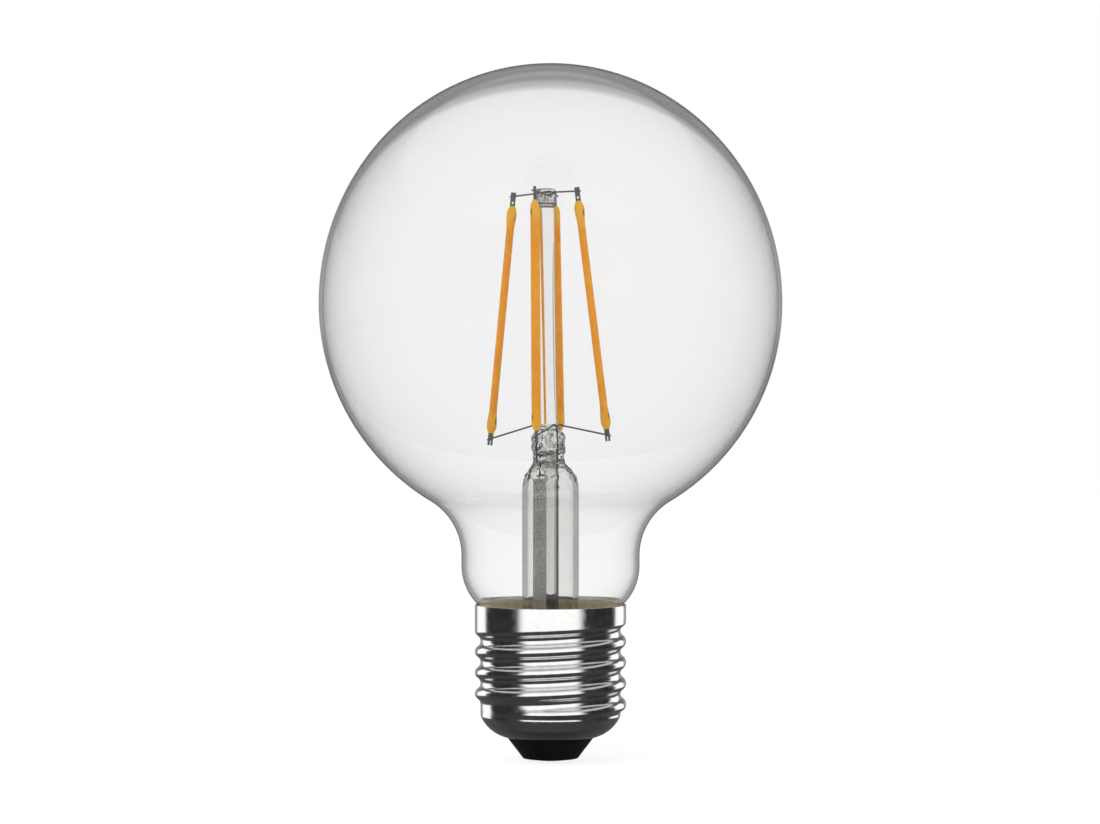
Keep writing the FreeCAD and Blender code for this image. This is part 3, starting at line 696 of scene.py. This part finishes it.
def sleeve_material():
    """Pale yarns with painted shade in the gaps between them, wound as in the braid."""
    made, graph, shader = material("braided_sleeve", Roughness=0.8)
    x, y, z = graph.axes(graph.place())
    across = graph.math("SUBTRACT", x, sleeve_middle.x * mm)
    deep = graph.math("SUBTRACT", y, sleeve_middle.y * mm)
    angle = graph.math("MULTIPLY", graph.math("ARCTAN2", deep, across), yarns)
    height = graph.math("SUBTRACT", z, sleeve_low * mm)
    wound = graph.math("MULTIPLY", height, yarns / (sleeve_outside * mm))
    ridges = [graph.math("COSINE", graph.math(operation, angle, wound)) for operation in ("ADD", "SUBTRACT")]
    ridge = graph.spread(graph.math("MAXIMUM", *ridges), 0.0, 0.7, -0.7, 0.9)
    fibre = graph.spread(graph.noise(fibre_scale, detail=5.0), 0.0, 0.3)
    # Painted shade: the yarns' colour darkens into the gaps between them
    color = graph.ramp(graph.math("ADD", ridge, fibre), ((0.0, yarn_painted_shade), (1.0, yarn_light)))
    graph.join(color, shader, "Base Color")
    return made


sleeve_cloth = sleeve_material()
dress(sleeve_cloth, "insulating_sleeve")
sleeve = piece("braided_sleeve", *braid(), sleeve_cloth, "braided_sleeve")
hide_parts("insulating_sleeve")


# Crimped edges of the tabs, where they come through each coat's swollen ends

crimp_half = (0.07, 0.07, 0.5)
crimp_rows = ((-1.0, 0.5), (-0.9, 1.0), (0.9, 1.0), (1.0, 0.5))
crimp_across = 0.42
crimp_out = 0.73
crimp_from_tip = 2.0
tips_in_coat = 50
fewest_in_tip = 8


def coat_axes(name):
    """Lowest and highest point of a coat's middle line, and its directions along, outward and across."""
    places = [nodes[name].matrix_world @ vertex.co / mm for vertex in nodes[name].data.vertices]
    places.sort(key=lambda place: place.z)
    count = max(len(places) // tips_in_coat, fewest_in_tip)
    low, high = [sum(group, Vector()) / len(group) for group in (places[:count], places[-count:])]
    along = (high - low).normalized()
    outward = (low + high) / 2.0
    outward.z = 0.0
    outward -= along * outward.dot(along)
    outward.normalize()
    return low, high, along, outward, along.cross(outward)


def crimps(name):
    """Four small bars on a coat, two at each end, with slimmer tips."""
    low, high, along, outward, across = coat_axes(name)
    vertices = []
    faces = []
    for middle in (low + along * crimp_from_tip, high - along * crimp_from_tip):
        for way in (-1.0, 1.0):
            foot = middle + across * crimp_across * way - outward * crimp_out * way
            rows = []
            for up, slim in crimp_rows:
                rows.append(list(range(len(vertices), len(vertices) + len(square_corners))))
                for side_way, out_way in square_corners:
                    vertices.append(foot + across * crimp_half[0] * side_way * slim
                                    + outward * crimp_half[1] * out_way * slim + along * crimp_half[2] * up)
            for lower, upper in zip(rows, rows[1:]):
                for corner in range(len(square_corners)):
                    after = (corner + 1) % len(square_corners)
                    faces.append([lower[corner], lower[after], upper[after], upper[corner]])
            faces.append(rows[0][::-1])
            faces.append(rows[-1])
    return vertices, faces


for side in sides:
    piece("crimps_" + side, *crimps("phosphor_coat_" + side), tab_steel, "tab_steel")


# Screw shell, rolled from one sheet

thread_pitch = 3.629
right_crest_height = 13.4
crest_fade_turns = 0.28
groove_fade_turns = 0.42
wall_blend = 0.8
collar_blend = 1.6
collar_z = 24.6
collar_row = 0.3
rim_round = 0.1
lip_z = 4.1
lip_radius = 7.6
shoulder_bulge = 0.7
shoulder_fillet = 0.9
wall_z = 8.2
wall_row = 0.1
slope_step = 0.0001
shell_columns = 288
outside_rows = 100
inside_rows = 50
first_crest = (wall_z - right_crest_height) / thread_pitch
last_groove = (collar_z - right_crest_height) / thread_pitch - 0.5


def thread_wave(turn):
    """Share of the thread's depth, 1 on a crest and 0 in a groove, from two equal arcs."""
    quarter = thread_pitch / 4.0
    arc_radius = (quarter ** 2 + thread_depth ** 2 / 4.0) / thread_depth
    from_crest = abs(turn - round(turn)) * thread_pitch
    if from_crest <= quarter:
        return 1.0 - (arc_radius - math.sqrt(arc_radius ** 2 - from_crest ** 2)) / thread_depth
    from_groove = thread_pitch / 2.0 - from_crest
    return (arc_radius - math.sqrt(arc_radius ** 2 - from_groove ** 2)) / thread_depth


def shell_radius(angle, height):
    """Outside radius of the rolled sheet. The first crest fades in and the last groove fades out."""
    turn = (height - right_crest_height) / thread_pitch - angle / 360.0
    crest = round(turn) + angle / 360.0
    groove = math.floor(turn) + 0.5 + angle / 360.0
    crest_share = smooth((crest - first_crest) / crest_fade_turns)
    groove_share = 1.0 - smooth((groove - last_groove) / groove_fade_turns)
    share = (1.0 - (1.0 - thread_wave(turn)) * groove_share) * crest_share
    share *= smooth((height - wall_z) / wall_blend)
    share = 1.0 - (1.0 - share) * smooth((collar_z - height) / collar_blend)
    return root_radius + thread_depth * share


def shell_foot(inset):
    """Outline from the lip over the shoulder and its fillet to the plain wall, inset from the outside."""
    low = Vector((lip_radius, lip_z))
    high = Vector((root_radius, wall_z - shoulder_fillet / 2.0))
    half = (high - low).length / 2.0
    radius = (half ** 2 + shoulder_bulge ** 2) / (2.0 * shoulder_bulge)
    along = (high - low).normalized()
    center = (low + high) / 2.0 + Vector((-along.y, along.x)) * (radius - shoulder_bulge)
    across = root_radius - shoulder_fillet - center.x
    up = -math.sqrt((radius - shoulder_fillet) ** 2 - across ** 2)
    meet = math.degrees(math.atan2(up, across))
    lip = math.degrees(math.asin((lip_z - center.y) / radius))
    return outline(arc(center, radius - inset, lip, meet, 14),
                   arc((center.x + across, center.y + up), shoulder_fillet - inset, meet, 0.0, 8),
                   [(root_radius - inset, wall_z - wall_row)])


def sheet_column(angle, inset, rows):
    """Outline of the threaded part at one angle, inset square to the sheet."""
    points = []
    for row in range(rows + 1):
        height = wall_z + (collar_z - wall_z) * row / rows
        above = shell_radius(angle, height + slope_step)
        below = shell_radius(angle, height - slope_step)
        slope = (above - below) / (2.0 * slope_step)
        square = inset / math.hypot(1.0, slope)
        points.append((shell_radius(angle, height) - square, height + slope * square))
    return points


def collar_edge():
    """Outline over the collar's rounded rim, from outside to inside."""
    outer = (crest_radius - rim_round, cap_height - rim_round)
    inner = (crest_radius - shell_thickness + rim_round, cap_height - rim_round)
    return outline([(crest_radius, collar_z + collar_row)],
                   arc(outer, rim_round, 0.0, 90.0, 4),
                   arc(inner, rim_round, 90.0, 180.0, 4),
                   [(crest_radius - shell_thickness, collar_z + collar_row)])


def rolled_shell():
    """Skin of the whole sheet, one closed outline at each angle."""
    vertices = []
    for column in range(shell_columns):
        angle = 360.0 * column / shell_columns
        turn = math.radians(angle)
        outside = shell_foot(0.0) + sheet_column(angle, 0.0, outside_rows) + collar_edge()
        inside = shell_foot(shell_thickness) + sheet_column(angle, shell_thickness, inside_rows)
        points = outside + inside[::-1]
        vertices += [(x * math.cos(turn), x * math.sin(turn), z) for x, z in points]
    rows = len(points)
    faces = []
    for column in range(shell_columns):
        here = column * rows
        after = (column + 1) % shell_columns * rows
        for row in range(rows):
            above = (row + 1) % rows
            faces.append((here + row, after + row, after + above, here + above))
    return vertices, faces


shell = piece("rolled_shell", *rolled_shell(), nickel, "nickel_plate")
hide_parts("screw_shell")


# Light, with the cards in millimetres and the rest in metres

seen_strength = 1.0
edge_strength = 0.45
gloss_strength = 1.0
soft_strength = 1.25
card_steps = 24
card_fade = 8.0
card_in_glass = 0.25
floor_reach = 1.5
floor_color = (0.8, 0.8, 0.8, 1.0)
floor_glow_share = 0.82
floor_glow = 1.05
floor_turned_glow = 0.3


def metal_studio(graph, azimuth, height):
    """Dark room that metal mirrors, with a bright ceiling and a soft band of light at the back."""
    front = graph.ramp(height, grey_stops((0.0, 0.06), (0.3, 0.06), (0.52, 0.03), (0.58, 0.75), (1.0, 0.75)))
    side = graph.ramp(height, grey_stops((0.0, 0.06), (0.3, 0.05), (0.5, 0.02), (0.8, 0.02), (0.82, 0.6),
                                         (1.0, 0.6)))
    back = graph.ramp(height, grey_stops((0.0, 0.03), (0.35, 0.1), (0.45, 0.35), (0.55, 0.35),
                                         (0.62, 0.15), (0.78, 0.1), (0.8, 0.6), (1.0, 0.6)))
    to_side = graph.spread(azimuth, 0.0, 1.0, 0.27, 0.3)
    to_back = graph.spread(azimuth, 0.0, 1.0, 0.61, 0.66)
    return graph.mix_color(to_back, graph.mix_color(to_side, front, side), back)


def glass_studio(graph, azimuth, height):
    """Room that clear glass mirrors, softer in front."""
    front = graph.ramp(height, grey_stops((0.0, 0.1), (0.5, 0.25), (0.6, 0.35), (1.0, 0.45)))
    back = graph.ramp(height, grey_stops((0.0, 0.1), (0.48, 0.1), (0.505, 0.32), (0.54, 0.32),
                                         (0.6, 0.08), (0.79, 0.08), (0.82, 0.6), (1.0, 0.6)))
    return graph.mix_color(graph.spread(azimuth, 0.0, 1.0, 0.45, 0.65), front, back)


def cove(graph, height):
    """What shows through glass: white up to over eye height, then grey, and lighter at the ceiling."""
    return graph.ramp(height, grey_stops((0.0, 1.0), (0.579, 1.0), (0.584, 0.5), (0.59, 0.45), (0.597, 0.07),
                                         (0.8, 0.07), (0.84, 0.7), (1.0, 0.7)))


def background(graph, color, strength=1.0):
    return graph.add("ShaderNodeBackground", {"Color": color, "Strength": strength})


def studio():
    """World: white behind the object, soft on it, and a dark studio with bright parts in reflections."""
    world = bpy.data.worlds.new("studio")
    bpy.context.scene.world = world
    world.use_nodes = True
    graph = Graph(world.node_tree)
    path = graph.add("ShaderNodeLightPath")
    x, y, z = graph.axes(graph.add("ShaderNodeTexCoord").outputs["Generated"])
    across = graph.math("ABSOLUTE", x)
    toward = graph.math("MULTIPLY", y, -1.0)
    azimuth = graph.math("DIVIDE", graph.math("ARCTAN2", across, toward), math.pi)
    height = graph.spread(z, 0.0, 1.0, -1.0, 1.0)
    mirrored = graph.mix_color(path.outputs["Is Singular Ray"], metal_studio(graph, azimuth, height),
                               glass_studio(graph, azimuth, height))
    seen = background(graph, white, seen_strength)
    edge = background(graph, white, edge_strength)
    gloss = background(graph, mirrored, gloss_strength)
    soft = background(graph, white, soft_strength)
    behind = background(graph, cove(graph, height))
    bounced = graph.math("GREATER_THAN", path.outputs["Glossy Depth"], 0.5)
    scattered = graph.math("GREATER_THAN", path.outputs["Diffuse Depth"], 0.5)
    through = graph.mix_shader(bounced, behind, edge)
    through = graph.mix_shader(scattered, through, soft)
    lit = graph.mix_shader(path.outputs["Is Glossy Ray"], soft, gloss)
    lit = graph.mix_shader(path.outputs["Is Transmission Ray"], lit, through)
    lit = graph.mix_shader(path.outputs["Is Camera Ray"], lit, seen)
    graph.add("ShaderNodeOutputWorld", {"Surface": lit.outputs[0]})


def area_light(name, place, target, size, power):
    """Square lamp that only lights, and that nothing mirrors or shows."""
    data = bpy.data.lights.new(name, "AREA")
    data.shape = "SQUARE"
    data.size = size
    data.energy = power
    lamp = put(name, data)
    lamp.location = place
    lamp.rotation_euler = (Vector(target) - Vector(place)).to_track_quat("-Z", "Y").to_euler()
    lamp.visible_glossy = False
    lamp.visible_transmission = False
    lamp.visible_camera = False


def floor():
    """Pale floor that is white where nothing shades it, and grey in the light that glass turns aside."""
    corners = [(x * floor_reach, y * floor_reach, 0.0) for x, y in square_corners]
    mesh = bpy.data.meshes.new("floor")
    mesh.from_pydata(corners, [], [(0, 1, 2, 3)])
    ground = put("floor", mesh)
    finish, graph = new_material("floor")
    path = graph.add("ShaderNodeLightPath")
    seen = graph.math("MAXIMUM", path.outputs["Is Camera Ray"], path.outputs["Is Transmission Ray"])
    share = graph.math("MULTIPLY", seen, floor_glow_share)
    matte = graph.add("ShaderNodeBsdfDiffuse", {"Color": floor_color})
    turned = graph.math("MULTIPLY", path.outputs["Is Transmission Ray"],
                        graph.math("GREATER_THAN", path.outputs["Glossy Depth"], 0.5))
    power = graph.spread(turned, floor_glow, floor_turned_glow, 0.0, 1.0)
    glow = graph.add("ShaderNodeEmission", {"Color": white, "Strength": power})
    mix = graph.mix_shader(share, matte, glow)
    graph.add("ShaderNodeOutputMaterial", {"Surface": mix.outputs[0]})
    mesh.materials.append(finish)
    ground.visible_glossy = False


def card_mesh(name, low, high, facing, reach, distance):
    """Bent upright strip with a shade that fades at its sides."""
    vertices = []
    for step in range(card_steps + 1):
        turn = math.radians(facing - reach + 2.0 * reach * step / card_steps)
        for height in (low, high):
            vertices.append((distance * math.cos(turn), distance * math.sin(turn), height))
    faces = [(2 * step, 2 * step + 1, 2 * step + 3, 2 * step + 2) for step in range(card_steps)]
    mesh = bpy.data.meshes.new(name)
    mesh.from_pydata([Vector(vertex) * mm for vertex in vertices], [], faces)
    shade = mesh.color_attributes.new("shade", "FLOAT_COLOR", "POINT")
    for index in range(len(vertices)):
        share = index // 2 / card_steps
        level = smooth(min(share, 1.0 - share) * card_fade)
        shade.data[index].color = (level, level, level, 1.0)
    return mesh


def card(name, low, high, facing, reach, distance, strength):
    """Bent white card that only reflections see, bright in metal and faint in glass."""
    mesh = card_mesh(name, low, high, facing, reach, distance)
    finish, graph = new_material(name)
    level = graph.add("ShaderNodeAttribute", attribute_name="shade").outputs["Color"]
    clear = graph.add("ShaderNodeLightPath").outputs["Is Singular Ray"]
    power = graph.spread(clear, strength, card_in_glass, 0.0, 1.0)
    glow = graph.add("ShaderNodeEmission", {"Color": level, "Strength": power})
    graph.add("ShaderNodeOutputMaterial", {"Surface": glow.outputs[0]})
    mesh.materials.append(finish)
    made = put(name, mesh)
    made.visible_camera = False
    made.visible_diffuse = False
    made.visible_transmission = False
    made.visible_shadow = False


studio()
card("front_card", low=-70.0, high=330.0, facing=-90.0, reach=54.0, distance=400.0, strength=1.3)
for name, facing in (("left_wing", 140.0), ("right_wing", 40.0)):
    card(name, low=-40.0, high=150.0, facing=facing, reach=18.0, distance=300.0, strength=1.3)
area_light("key", place=(-0.5, -0.6, 0.7), target=(0.0, 0.0, 0.06), size=0.5, power=6.0)
floor()
bpy.context.scene.view_settings.view_transform = "Standard"
